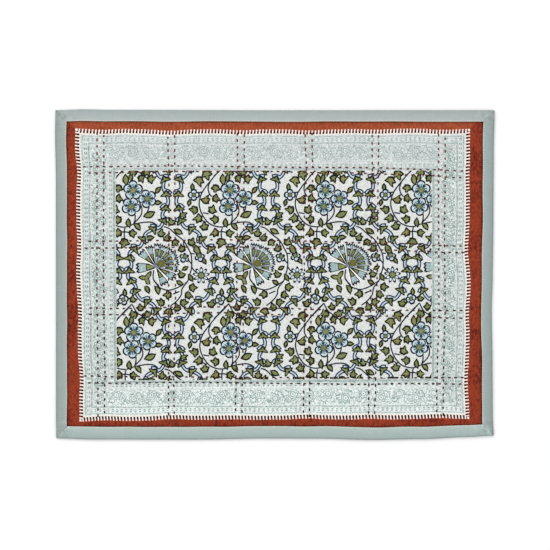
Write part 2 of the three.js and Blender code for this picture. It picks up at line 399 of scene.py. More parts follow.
# One side's ribbon down the repeat: its nodes, the links between them, and the way each link bulges.
def ribbonLinks(side):
    nodes = [(side * spread, down) for down, spread in ribbon["spread"]]
    nodes = np.array(nodes + [(side * ribbon["spread"][0][1], -prints["repeat"][1])])
    links = nodes[1:] - nodes[:-1]
    across = np.stack([-links[:, 1], links[:, 0]], 1) / np.linalg.norm(links, axis=1)[:, None]
    turn = np.where(np.arange(len(links)) % 2, -side, side)[:, None]
    return nodes, links, across * turn


# The ribbon's middle line: straight from node to node, bulging in a half sine to either side in turn.
def ribbonLine(side, steps=7):
    nodes, links, outward = ribbonLinks(side)
    t = (np.arange(steps) / steps)[None, :, None]
    line = nodes[:-1, None] + links[:, None] * t + outward[:, None] * ribbon["bulge"] * np.sin(np.pi * t)
    return np.vstack([line.reshape(-1, 2), nodes[-1:]])


# The hook low on each link of a side's ribbon: it leaves the link and turns out on the hollow side of its bulge.
def ribbonHooks(side):
    return [np.array([node + link * along - away * aside for along, aside in ribbon["hook"]])
            for node, link, away in zip(*ribbonLinks(side))]


# Splits lines into pieces: start, end, and whether each end is the line's own.
def piecesOf(lines):
    starts = np.vstack([line[:-1] for line in lines])
    ends = np.vstack([line[1:] for line in lines])
    first = np.concatenate([np.arange(len(line) - 1) == 0 for line in lines])
    last = np.concatenate([np.arange(len(line) - 1) == len(line) - 2 for line in lines])
    return starts, ends, first, last


# Rows that reach into the repeat from its eight neighbours are added to its own.
def withNeighbours(places, *columns, margin=24):
    width, height = prints["repeat"]
    shifts = np.array([(i * width, j * height) for i in (-1, 0, 1) for j in (-1, 0, 1)])
    moved = places[None] + shifts[:, None]
    low, high = np.array([-width / 2 - margin, -height - margin]), np.array([width / 2 + margin, margin])
    keep = ((moved > low) & (moved < high)).all(2)
    return [moved[keep]] + [np.broadcast_to(column, (9,) + column.shape)[keep] for column in columns]


# The nearest of some pieces of line to each point, by the true distance to the piece.
def nearestPiece(points, starts, ends):
    run = ends - starts
    length = (run**2).sum(1)
    nearest = np.empty(len(points), int)
    for begin in range(0, len(points), 6000):
        gap = points[begin:begin + 6000, None] - starts[None]
        share = np.clip((gap * run).sum(2) / length, 0, 1)
        nearest[begin:begin + 6000] = ((gap - share[..., None] * run) ** 2).sum(2).argmin(1)
    return nearest


# At each face's corners: how far the nearest line lies to the left, and how far past its end the corner is.
def linePlaces(corners, middles, lines):
    starts, ends, first, last = piecesOf(lines)
    starts, run, first, last = withNeighbours(starts, ends - starts, first, last)
    nearest = nearestPiece(middles, starts, starts + run)
    length = np.linalg.norm(run[nearest], axis=1)[:, None]
    along = run[nearest] / length
    gap = corners - starts[nearest][:, None]
    forward = (gap * along[:, None]).sum(2)
    leftward = gap[..., 1] * along[:, None, 0] - gap[..., 0] * along[:, None, 1]
    wellInside = -9
    beforeStart = np.where(first[nearest][:, None], -forward, wellInside)
    afterEnd = np.where(last[nearest][:, None], forward - length, wellInside)
    return leftward, np.maximum(beforeStart, afterEnd)


# At each face's corners: the place in the nearest motif's own frame, with its tip along +u, in its own sizes.
def motifPlaces(corners, middles, chart, stretch):
    places, aim, size, *rest = withNeighbours(chart[:, :2], *chart[:, 2:].T)
    aim = np.radians(aim)
    reach = size * stretch
    nearest = np.empty(len(middles), int)
    for begin in range(0, len(middles), 20000):
        gap = middles[begin:begin + 20000, None] - places[None]
        nearest[begin:begin + 20000] = (np.linalg.norm(gap, axis=2) / reach).argmin(1)
    gap = corners - places[nearest][:, None]
    cos, sin = np.cos(aim[nearest])[:, None], np.sin(aim[nearest])[:, None]
    forward = (gap[..., 0] * cos + gap[..., 1] * sin) / size[nearest][:, None]
    leftward = (gap[..., 1] * cos - gap[..., 0] * sin) / size[nearest][:, None]
    return forward, leftward, size[nearest], [column[nearest] for column in rest]


# At each face's corners: the place from the nearest fan's hub, and whether the fan reaches the face.
def fanPlaces(corners, middles):
    hubs = withNeighbours(np.array([fan["hub"]]), margin=fan["reach"])[0]
    gaps = np.linalg.norm(middles[:, None] - hubs[None], axis=2)
    gap = corners - hubs[gaps.argmin(1)][:, None]
    return gap[..., 0], gap[..., 1], gaps.min(1) < fan["reach"]


print("plan and chart ready")


# Numbers in a material: a node's output that can be added, multiplied and so on, so that formulas read as formulas.
class Number:
    def __init__(self, tree, socket):
        self.tree, self.socket = tree, socket

    def do(self, operation, *others, clamp=False):
        node = self.tree.nodes.new("ShaderNodeMath")
        node.operation, node.use_clamp = operation, clamp
        for place, value in enumerate((self,) + others):
            if isinstance(value, Number):
                self.tree.links.new(value.socket, node.inputs[place])
            else:
                node.inputs[place].default_value = value
        return Number(self.tree, node.outputs[0])

    __add__ = __radd__ = partialmethod(do, "ADD")
    __sub__ = partialmethod(do, "SUBTRACT")
    __mul__ = __rmul__ = partialmethod(do, "MULTIPLY")
    __truediv__ = partialmethod(do, "DIVIDE")
    __abs__ = partialmethod(do, "ABSOLUTE")
    low = partialmethod(do, "MINIMUM")
    high = partialmethod(do, "MAXIMUM")
    power = partialmethod(do, "POWER")
    exp = partialmethod(do, "EXPONENT")
    sin = partialmethod(do, "SINE")
    cos = partialmethod(do, "COSINE")
    part = partialmethod(do, "FRACT")
    over = partialmethod(do, "GREATER_THAN")
    clamped = partialmethod(do, "MULTIPLY", 1.0, clamp=True)

    def __rsub__(self, other):
        return self * -1 + other

    # 1 where the number is under 0 and 0 over it, with an edge as wide as soft
    def inside(self, soft=0.12):
        return self.do("MULTIPLY_ADD", -1 / soft, 0.5, clamp=True)

    def outside(self, soft=0.12):
        return self.do("MULTIPLY_ADD", 1 / soft, 0.5, clamp=True)


# How far a place lies from its middle, and which way, in radians from straight forward.
def polar(forward, leftward):
    return (forward * forward + leftward * leftward).power(0.5), leftward.do("ARCTAN2", forward)


# A new material with its node tree and its surface.
def newMaterial(name):
    material = bpy.data.materials.new(name)
    material.use_nodes = True
    tree = material.node_tree
    return material, tree, tree.nodes["Principled BSDF"]


# The three numbers of a vector.
def axesOf(tree, vector):
    split = tree.nodes.new("ShaderNodeSeparateXYZ")
    tree.links.new(vector, split.inputs[0])
    return [Number(tree, output) for output in split.outputs]


# The three numbers that setCornerVector gave a piece.
def vectorAttribute(tree, name):
    node = tree.nodes.new("ShaderNodeAttribute")
    node.attribute_name = name
    return axesOf(tree, node.outputs["Vector"])


# The place on the object in metres, stretched along each axis.
def objectPlace(tree, stretch=(1, 1, 1)):
    place = tree.nodes.new("ShaderNodeTexCoord")
    mapping = tree.nodes.new("ShaderNodeMapping")
    mapping.inputs["Scale"].default_value = stretch
    tree.links.new(place.outputs["Object"], mapping.inputs[0])
    return mapping.outputs[0]


# Soft noise about 0, with so many lumps a metre.
def noise(tree, place, scale, detail=2.0):
    node = tree.nodes.new("ShaderNodeTexNoise")
    node.inputs["Scale"].default_value = scale
    node.inputs["Detail"].default_value = detail
    tree.links.new(place, node.inputs["Vector"])
    return Number(tree, node.outputs[0]) - 0.5


studio = {
    "brightness": 1.095,        # what a white cloth facing up sends to the camera
    "room": 0.72,
    "lights": [("window", (-1.1, 1.3, 1.9), 26, 1.4), ("fill", (1.3, -0.9, 2.2), 14, 1.8)],
    "floorTone": (0.93, 0.93, 0.93, 1),
    "floorReach": 3000,
    "floorHeight": -0.3,        # just under the stitches on the mat's back
}
inks = {
    "ground": (221, 223, 219),
    "vein": (255, 255, 248),
    "navy": (20, 31, 50),
    "leaf": (128, 135, 88),
    "leafRust": (128, 104, 60),
    "leafEdge": (24, 30, 14),
    "petal": (180, 206, 212),
    "petalPale": (222, 231, 234),
    "petalDeep": (54, 84, 104),
    "ribbon": (198, 214, 224),
    "ribbonLine": (26, 44, 76),
    "fanPetal": (156, 180, 181),
    "core": (110, 108, 54),
    "hub": (120, 132, 152),
    "borderGround": (227, 234, 231),
    "borderInk": (140, 163, 159),
    "borderGroundTop": (216, 222, 220),
    "borderInkTop": (164, 179, 177),
    "tooth": (250, 238, 230),
    "notch": (16, 1, 0),
    # the top side's notch and rust inks below are lighter copies: painted light
    "notchTopLit": (96, 22, 12),
    "rust": (150, 60, 37),
    "rustTopLit": (172, 84, 54),
    "rustDark": (98, 32, 20),
}


# A colour given as it looks on screen, from 0 to 255, in the light's own scale.
def colour(red, green, blue):
    shown = np.array([red, green, blue]) / 255
    light = np.where(shown <= 0.04045, shown / 12.92, ((shown + 0.055) / 1.055) ** 2.4)
    return tuple(light / studio["brightness"]) + (1.0,)


ink = {name: colour(*shown) for name, shown in inks.items()}


# Lays colours one after another over a ground, each in its own share.
def layered(ground, *layers):
    for over, share in layers:
        node = share.tree.nodes.new("ShaderNodeMix")
        node.data_type = "RGBA"
        for place, value in ((6, ground), (7, over)):
            if isinstance(value, tuple):
                node.inputs[place].default_value = value
            else:
                share.tree.links.new(value, node.inputs[place])
        share.tree.links.new(share.socket, node.inputs[0])
        ground = node.outputs[2]
    return ground


# Makes a colour lighter or darker by a factor.
def scaled(shade, factor):
    node = factor.tree.nodes.new("ShaderNodeVectorMath")
    node.operation = "SCALE"
    factor.tree.links.new(shade, node.inputs[0])
    factor.tree.links.new(factor.socket, node.inputs["Scale"])
    return node.outputs[0]


finishes = {        # depth is the height in millimetres that a bump of 1 stands for; fuzz is so many lumps a metre
    "printed": {"roughness": 0.95, "sheen": 0.04, "strength": 0.35, "depth": 0.06, "fuzz": 2600, "pitch": 0.42},
    "plain": {"roughness": 0.95, "sheen": 0.04, "strength": 0.4, "depth": 0.07, "fuzz": 2600, "pitch": 0.45},
    "thread": {"roughness": 0.85, "sheen": 0.06, "strength": 0.5, "depth": 0.1, "fuzz": 4000},
    "sheenRoughness": 0.6,
    "gloss": 0.06,
}


# Gives a surface its colour, its finish and its bump.
def finished(surface, shade, finish, height):
    tree = height.tree
    tree.links.new(shade, surface.inputs["Base Color"])
    surface.inputs["Roughness"].default_value = finish["roughness"]
    surface.inputs["Sheen Weight"].default_value = finish["sheen"]
    surface.inputs["Sheen Roughness"].default_value = finishes["sheenRoughness"]
    surface.inputs["Specular IOR Level"].default_value = finishes["gloss"]
    bump = tree.nodes.new("ShaderNodeBump")
    bump.inputs["Strength"].default_value = finish["strength"]
    bump.inputs["Distance"].default_value = finish["depth"] * mm
    tree.links.new(height.socket, bump.inputs["Height"])
    tree.links.new(bump.outputs[0], surface.inputs["Normal"])


# Plain weave as a bump: warp and weft sines that take turns on top, and fuzz over them.
def wovenHeight(tree, finish):
    place = objectPlace(tree)
    x, y = axesOf(tree, place)[:2]
    pitch = finish["pitch"] * mm
    warp = (x * (np.pi / pitch)).sin()
    weft = (y * (np.pi / pitch)).sin()
    ridge = abs(warp) * 0.5 + abs(weft) * 0.5 + warp * weft * 0.5
    return ridge + noise(tree, place, finish["fuzz"], 3) * 0.8


lumps = {           # each noise of the printing, as (lumps a metre, detail)
    "wobble": (620, 2),
    "cloud": (45, 3),
    "speck": (420, 3),
    "grain": (700, 2),
    "hairs": (340, 1),
    "wear": (260, 3),
    "streaks": (430, 4),
}


# The unevenness of printing by hand: wobble moves edges, in millimetres; cloud, speck and grain vary ink and cloth.
class Hand:
    def __init__(self, tree):
        self.tree = tree
        self.wobble = self.noise("wobble") * 0.8
        self.cloud = self.noise("cloud")
        self.speck = self.noise("speck")
        self.grain = self.noise("grain")

    def noise(self, name, stretch=(1, 1, 1)):
        return noise(self.tree, objectPlace(self.tree, stretch), *lumps[name])


leafOutlines = {    # the body's radius, and each lobe as (turn from the tip, half its width, height)
    "ivy": (0.35, [(0, 0.62, 0.33), (1.3, 0.6, 0.21), (2.35, 0.45, 0.07)]),
    "hood": (0.26, [(0, 0.8, 0.12), (1.9, 0.6, 0.34), (np.pi, 0.9, -0.10)]),
    "arms": (0.17, [(0, 0.9, 0.38), (2.05, 0.85, 0.42)]),
}
leafPrint = {
    "longHalfWidth": 0.26,      # of a long leaf, by its length
    "slant": 0.85,              # outlines run aslant, so they are nearer than the gap along the radius
    "outside": 0.7,             # how far the dark outline reaches outside the leaf's edge, and how far inside
    "inside": 1.05,
}
vineHalfWidth = 0.72
vineEnd = 0.3                   # how far a vine runs past its last charted point


# How far outside a leaf a point is, in millimetres. A lobed leaf's edge is a circle with a pointed peak for each
# lobe; a long leaf is as wide as a flattened parabola.
def leafDistance(forward, leftward, size, kind):
    radius, turn = polar(forward, leftward)
    turn = abs(turn)
    peak = lambda at, width: (1 - abs(turn - at) / width).high(0).power(1.2)
    ivyEdge, hoodEdge, armsEdge = [sum((peak(at, width) * height for at, width, height in lobes), body)
                                   for body, lobes in leafOutlines.values()]
    isLong, isHood, isArms = 1 - abs(kind - 1).low(1), (kind - 1.5).outside(), (kind - 2.5).outside()
    edge = ivyEdge + (hoodEdge - ivyEdge) * isHood + (armsEdge - hoodEdge) * isArms
    lobed = (radius - edge) * size * leafPrint["slant"]
    width = (1 - forward * forward * 4).high(0) * leafPrint["longHalfWidth"]
    long = ((abs(leftward) - width) * size).high((abs(forward) - 0.5) * size)
    return lobed + (long - lobed) * isLong


# The field's ground with its vines, ribbons and leaves; gives the ink of the leaves as well.
def vinesAndLeaves(hand):
    tree, wobble, speck = hand.tree, hand.wobble, hand.speck
    drawn = []
    for name in ("vinePlace", "twigPlace"):
        side, beyond = vectorAttribute(tree, name)[:2]
        drawn.append((abs(side) - vineHalfWidth + wobble * 0.5).inside() * (beyond - vineEnd).inside())
    ribbonSide, ribbonBeyond = vectorAttribute(tree, "ribbonPlace")[:2]
    ribbonGap = abs(ribbonSide).high(ribbonBeyond) - ribbon["halfWidth"] + wobble * 0.3
    kind, tone = vectorAttribute(tree, "leafKind")[:2]
    leaf = leafDistance(*vectorAttribute(tree, "leafPlace"), kind) + wobble * 0.8
    browned = (tone - 0.42).outside(0.2) * 0.5
    leafInk = scaled(layered(ink["leaf"], (ink["leafRust"], browned)), 1 + speck * 0.9 + tone * 0.3)
    shade = layered(
        ink["ground"],
        (ink["petalPale"], (speck * 1.2 + 0.1).clamped()),
        (ink["navy"], drawn[0].high(drawn[1])),
        (ink["ribbon"], ribbonGap.inside()),
        (ink["ribbonLine"], (abs(ribbonGap) - ribbon["line"] / 2).inside()),
        (ink["leafEdge"], (leaf - leafPrint["outside"]).inside()),
        (leafInk, (leaf + leafPrint["inside"] + wobble * 0.9).inside()),
    )
    return shade, leafInk


# The fan's petals by the way a point lies from the hub, as a share of a turn. Each stretch of the ramp is one
# petal: red is its aim, green half its spread in radians, blue its length over the fan's reach, alpha its shape.
def petalTable(tree, turn):
    node = tree.nodes.new("ShaderNodeValToRGB")
    ramp = node.color_ramp
    ramp.interpolation = "CONSTANT"
    petals = sorted((aim % 360, length, half, shape) for aim, length, half, shape in fan["petals"])
    rows = []
    for (aim, length, half, shape), before in zip(petals, petals[-1:] + petals[:-1]):
        gap = (aim - before[0]) % 360
        start = (aim - gap * half / (half + before[2])) / 360
        rows.append((start, (aim / 360, np.radians(half), length / fan["reach"], (shape + 1) / 2)))
    wrapped = [(start + 1, row) for start, row in rows if start < 0]
    rows = sorted([row for row in rows if row[0] >= 0] + wrapped)
    ramp.elements[1].position, ramp.elements[1].color = rows[0]
    ramp.elements[0].position, ramp.elements[0].color = 0, rows[-1][1]
    for start, row in rows[1:]:
        ramp.elements.new(start).color = row
    tree.links.new(turn.socket, node.inputs[0])
    split = tree.nodes.new("ShaderNodeSeparateColor")
    tree.links.new(node.outputs["Color"], split.inputs[0])
    aim, half, length = [Number(tree, output) for output in split.outputs]
    return aim, half, length * fan["reach"], Number(tree, node.outputs["Alpha"])


# The fan: toothed petals with navy edges, a green wedge in each, and bare cloth showing between them. Places in a
# petal are shares: aside of half its spread, and out of its length.
def fanOver(hand, shade, leafInk):
    wobble, speck = hand.wobble, hand.speck
    across, up, isReached = vectorAttribute(hand.tree, "fanPlace")
    radius, turn = polar(across, up)
    turn = (turn / (2 * np.pi) + 1).part()
    aim, half, length, shape = petalTable(hand.tree, turn)
    turned = ((turn - aim + 1.5).part() - 0.5) * (2 * np.pi)
    aside = abs(turned) / half
    out = radius / length
    inDome = (shape - 0.75).outside()
    bulge = (0.25 - shape).outside()
    toothTurn, toothDepth = fan["teeth"]
    tooth = (aside * toothTurn).cos() * toothDepth + 0.96
    fromSide = half * length * out.power(1 - bulge * 0.5) - abs(radius * turned.sin()) + wobble * 0.5
    fromEnd = (tooth - out) * length + wobble * 0.5
    inFan = (isReached - 0.5).outside()
    between = inFan * (out - 0.95).inside(0.02) * (fromSide + 0.8).outside() * (1 - bulge) * (1 - inDome)
    wedgeEnd = fan["wedge"] + inDome * fan["domeWedge"] - bulge * fan["bulgeWedge"]
    wedge = ((out - wedgeEnd) * length).high(0.9 + inDome * 0.4 - fromSide) + wobble
    wedge = wedge.high((inDome * fan["domeStart"] - out) * length)
    stripeAside, stripeHalf, stripeEnd = fan["stripe"]
    stripe = (abs(aside - stripeAside) - stripeHalf).inside(0.1) * inDome * (out - stripeEnd).inside(0.05)
    edge = (fromEnd - fan["outlineEnd"]).inside().high((fromSide - fan["outlineSide"] + inDome * 0.3).inside())
    petal = layered(
        ink["fanPetal"],
        (ink["petalPale"], (speck * 3 + inDome * 0.4).clamped()),
        (ink["navy"], stripe),
        (ink["leafEdge"], (wedge - 0.4).inside()),
        (scaled(leafInk, 1.05 + speck * 0.5), (wedge + 0.4).inside()),
        (ink["navy"], edge),
    )
    return layered(
        shade,
        (ink["vein"], between),
        (petal, fromSide.low(fromEnd).outside() * inFan),
        (ink["hub"], (radius - fan["hubRadius"]).inside() * inFan),
    )


flowerOutlines = {  # the radius at the seams, how much further the petals reach, and how blunt they are
    "rose": (0.64, 0.35, 0.5),
    "daisy": (0.40, 0.62, 0.7),
    "core": (0.80, 0.16, 1),
}
flowerPrint = {
    "large": 7.2,               # the radius from which a flower's petals are marked
    "outline": 1.75,            # its outline's width; a large flower's is narrower and a daisy's wider
    "seam": 0.6,                # half the width of the line between two petals
    "eye": 0.29,                # the eye's radius, and its waves, as shares of the flower's radius
    "eyeWave": 0.06,
    "shortBack": 0.24,          # how much shorter a bell's petals at the back are
    "marks": (0.48, 0.14),      # where the marks on a petal lie, and half their length
}


# Flowers: petals around a green eye, each style by its own outline.
def flowersOver(hand, shade, leafInk):
    wobble, speck = hand.wobble, hand.speck
    forward, leftward, size = vectorAttribute(hand.tree, "flowerPlace")
    petals, style = vectorAttribute(hand.tree, "flowerKind")[:2]
    radius, turn = polar(forward, leftward)
    petal = abs((turn * petals * 0.5).cos())
    seam = radius * size * petal * 2 / petals       # how far the seam between two petals lies, in millimetres
    isBell = style.over(2.5)
    isCore = style.over(1.5) - isBell
    isDaisy = style.over(0.5) - isCore - isBell
    isLarge = (size - flowerPrint["large"]).outside(0.5)
    isRose = isLarge * (1 - isDaisy)
    roseEdge, daisyEdge, coreEdge = [low + petal.power(blunt) * more
                                     for low, more, blunt in flowerOutlines.values()]
    edge = roseEdge + (daisyEdge - roseEdge) * isDaisy + (coreEdge - roseEdge) * isCore
    edge = edge - (1 - turn.cos()) * flowerPrint["shortBack"] * isBell
    rim = (radius - edge) * size + wobble * 0.6
    eye = (radius - flowerPrint["eye"] - ((turn * petals).cos() + isDaisy) * flowerPrint["eyeWave"]) * size
    pale = (radius - 0.66).outside(0.14) * 0.6 + speck * 1.6 + 0.5 - isRose * 0.5
    rays = (abs((turn * petals * 1.5).cos()) - 0.72).outside(0.2)
    markMiddle, markHalf = flowerPrint["marks"]
    marks = rays * (abs(radius - markMiddle) - markHalf + wobble * 0.2).inside(0.05)
    seamLine = (seam - flowerPrint["seam"]).inside() * (radius - 0.3).outside(0.05)
    ring = (rim + flowerPrint["outline"] - isLarge * 0.2 + isDaisy * 0.35).outside()
    core = layered(ink["core"], (ink["leafEdge"], (petal - 0.35).inside(0.2) * (radius - 0.45).outside(0.1) * 0.7))
    bloom = layered(
        ink["petal"],
        (ink["petalPale"], pale.clamped()),
        (ink["petalDeep"], marks * isRose),
        (ink["navy"], ring.high(seamLine)),
        (ink["navy"], (eye - 0.5).inside()),
        (leafInk, (eye + 0.3).inside()),
        (core, isCore),
    )
    return layered(shade, (bloom, (rim - 0.2).inside()))


border = {          # places in it are measured in from the comb's outer edge
    "width": 42.0,
    "lines": [(7.4, 1.0, 0.7), (14.3, 1.7, 0.7), (32.8, 0.8, 0.28), (40.2, 2.4, 0.7)],  # (place, width, strength)
    "dashes": [(9.8, 1.3), (11.9, 1.3), (35.8, 1.2), (37.6, 1.1)],      # (place, width)
    "dashPitch": 4.8,
    "scroll": 24,               # the scroll's middle line, half its width, and its repeat
    "scrollHalf": 7.8,
    "repeat": 37.0,
    "stem": 1.2,
    "rings": [(0.0, 26.8), (0.5, 22.6)],    # each ring flower: (share of the repeat, place)
    "ringRadii": (0.8, 2.7, 4.6, 5.3),      # its dot, its ring, its wavy ring, and the clear cloth round it
    "toothPitch": 3.42,
    "toothSlant": 0.12,
    "toothHalf": 0.212,         # half a tooth's width, as a share of the pitch
    "cornerTooth": 2.6,         # the size of the bare square at each corner of the comb
    "comb": 4.6,                # where the comb's teeth end
    "notch": 1.8,               # where the notches between them turn dark
}


# A ring flower of the border's scroll, once a repeat: a dot, a ring and a wavy ring round it; and where the scroll
# may show beside it.
def scrollRing(along, within, share, place, soft):
    sideways = ((along / border["repeat"] + share).part() - 0.5) * border["repeat"]
    radius, turn = polar(sideways, within - place)
    dotRadius, ringRadius, wavyRadius, clearRadius = border["ringRadii"]
    ring = (abs(radius - ringRadius) - 0.5 + soft).inside(0.3)
    petals = (abs(radius - wavyRadius - (turn * 7).cos() * 0.5) - 0.5 + soft).inside(0.3)
    return ring + petals + (radius - dotRadius).inside(0.3), (radius - clearRadius).outside(0.3)


# The border's pale bands: lines, dashes and a scroll of stems, sprigs and ring flowers, all a little worn.
def paleBands(hand, within, along, isTop, isBottom):
    soft = hand.speck * 0.5
    line = lambda at, width: (abs(within - at) - width / 2 + soft).inside(0.3)
    wave = lambda times: along * (2 * np.pi * times / border["repeat"])
    lines = sum(line(at, width) * strength for at, width, strength in border["lines"])
    dash = (abs((along / border["dashPitch"]).part() - 0.5) - 0.22).inside(0.06)
    dashes = sum(line(at, width) for at, width in border["dashes"]) * dash
    stem = line(border["scroll"] + wave(2).sin() * 5.6, border["stem"])
    sprigs = line(border["scroll"] + wave(7).sin() * 2.4 + wave(2).cos() * 4.8, border["stem"])
    (ringOver, clearOver), (ringUnder, clearUnder) = [scrollRing(along, within, share, place, soft)
                                                      for share, place in border["rings"]]
    hairs = (abs(hand.noise("hairs")) - 0.035).inside(0.03)
    ground = (stem + sprigs + hairs * 0.9).low(1) * clearOver * clearUnder
    scroll = (ringOver + ringUnder + ground) * (abs(within - border["scroll"]) - border["scrollHalf"]).inside(0.2)
    worn = hand.noise("wear") * 1.8 + 0.85
    cloth = layered(ink["borderGround"], (ink["borderGroundTop"], isTop))
    printInk = layered(ink["borderInk"], (ink["borderInkTop"], isTop))
    pale = layered(cloth, (printInk, ((dashes + lines + scroll + hairs * 0.35) * worn).clamped()))
    # painted light: the pale bands are scaled lighter on the top and lighter still on the bottom than on the left and
    # right
    return scaled(pale, 0.91 + isTop * 0.07 + isBottom * 0.14 + hand.cloud * 0.12 + hand.speck * 0.25)


# The rust band's ink, and the comb's: bare teeth with dark notches between them that fade out into the rust.
def rustAndComb(hand, within, along, fromOther, onTop):
    wobble = hand.wobble
    streaks = hand.noise("streaks", (1, 0.45, 1))
    mottle = (streaks * 3.4 + hand.speck * 1.2 + hand.cloud * 2.0) * (1 - onTop * 0.72) + 0.22
    # on the top side the rust takes its lighter copy: painted light
    rust = layered(ink["rust"], (ink["rustTopLit"], onTop), (ink["rustDark"], mottle.clamped()))
    slanted = (along + within * border["toothSlant"]) / border["toothPitch"]
    tooth = (abs(slanted.part() - 0.5) - border["toothHalf"] + wobble * 0.1).inside(0.08)
    tooth = tooth.high((fromOther - border["cornerTooth"]).inside())
    comb = layered(
        rust,
        # on the top side the notches take their lighter copy: painted light
        (layered(ink["notch"], (ink["notchTopLit"], onTop)), (within - border["notch"]).outside(0.8)),
        (ink["tooth"], tooth * (within - 0.2 + wobble * 1.2).outside(0.2)),
    )
    return rust, comb


# The border over the field: its place on the block gives how far in from the nearest side a point lies, and how far
# along it. The top and bottom sides have tones of their own, partly painted light: the top's rust and notches are
# painted lighter, and the pale bands are painted lighter on the top and the bottom than on the left and right.
def borderOver(hand, shade):
    blockX, blockY = vectorAttribute(hand.tree, "blockPlace")[:2]
    left, bottom, right, top = prints["comb"]
    fieldLeft, fieldBottom, fieldRight, fieldTop = prints["field"]
    full = border["width"]
    inX = ((blockX - left) * (full / (fieldLeft - left))).low((right - blockX) * (full / (right - fieldRight)))
    inY = ((blockY - bottom) * (full / (fieldBottom - bottom))).low((top - blockY) * (full / (top - fieldTop)))
    within, sideways = inX.low(inY), inY - inX
    along = blockX + (blockY - blockX) * sideways.over(0)
    isTop = (blockY - fieldTop + 6).outside(12) * sideways.inside(8)
    isBottom = (fieldBottom - 6 - blockY).outside(12) * sideways.inside(8)
    onTop = (blockY - top + 3).outside(3) * sideways.inside()
    rust, comb = rustAndComb(hand, within, along, inX.high(inY), onTop)
    inked = layered(
        ink["tooth"],
        (paleBands(hand, within, along, isTop, isBottom), (within - border["comb"] - 1).outside(0.5)),
        (comb, (within - border["comb"] + hand.wobble).inside(0.3)),
        (rust, (within + 0.05).inside(0.2)),
    )
    return layered(shade, (inked, (within - full + hand.wobble * 0.6).inside(0.2)))


# The printed cloth: field, fan, flowers and border in turn, then the shade that the binding casts beside itself.
def printedCotton():
    material, tree, surface = newMaterial("printed_cotton")
    hand = Hand(tree)
    shade, leafInk = vinesAndLeaves(hand)
    shade = fanOver(hand, shade, leafInk)
    shade = flowersOver(hand, shade, leafInk)
    shade = borderOver(hand, shade)
    fromBinding = vectorAttribute(tree, "edgePlace")[0]
    beside = (fromBinding - 1.0).inside(1.0) * 0.5 + (1 - fromBinding * 0.22).high(0) * 0.22
    shade = scaled(shade, 1 + hand.cloud * 0.12 + hand.grain * 1.1 - beside)
    finished(surface, shade, finishes["printed"], wovenHeight(tree, finishes["printed"]))
    return material


# Plain cotton with slubs along both threads, clouded a little; a tone of painted light and shade can vary it further.
def plainCotton(name, shown, slub=0.10, tone=None):
    material, tree, surface = newMaterial(name)
    alongX = noise(tree, objectPlace(tree, (0.12, 1, 1)), 900, 2)
    alongY = noise(tree, objectPlace(tree, (1, 0.12, 1)), 900, 2)
    cloud = noise(tree, objectPlace(tree), 60, 3)
    base = tree.nodes.new("ShaderNodeRGB")
    base.outputs[0].default_value = colour(*shown)
    shade = scaled(base.outputs[0], 1 + (alongX + alongY) * slub * 2 + cloud * 0.08)
    if tone:
        shade = scaled(shade, tone(tree))
    finished(surface, shade, finishes["plain"], wovenHeight(tree, finishes["plain"]))
    return material


# A binding flap's painted light and shade: it is painted paler from the rim to the free edge, with a painted highlight
# beside the stitches, painted shade on its rim, and painted crease shading that fades out away from the mitres.
def flapPaintedLightAndShade(side):
    def tone(tree):
        inset, share, fromMitre = vectorAttribute(tree, "flapPlace")
        paintedCreaseShade = noise(tree, objectPlace(tree), 170, 2) * (fromMitre * -0.11).exp() * 1.5
        # painted shade on the flap's rim
        rim = (inset * -1).exp() * binding["rimShade"][side]
        # painted highlight beside the topstitch
        ridge = ((share - 1) * (binding["widths"][side] / 1.1)).exp() * 0.14
        return 1 + (share - 0.5) * 0.2 + ridge - rim + paintedCreaseShade
    return tone


# A thread's colour eases, as painted light, from one shade near the diner to another at the far side, and varies
# a little along it.
def sewingThread(name, shown, shownFarLit):
    material, tree, surface = newMaterial(name)
    place = objectPlace(tree)
    farLightShare = (axesOf(tree, place)[1] / (mat["depth"] * mm) + 0.5).clamped()
    shade = layered(colour(*shown), (colour(*shownFarLit), farLightShare))
    shade = scaled(shade, 1 + noise(tree, place, 350, 2) * 0.7)
    finished(surface, shade, finishes["thread"], noise(tree, place, finishes["thread"]["fuzz"], 3))
    return material


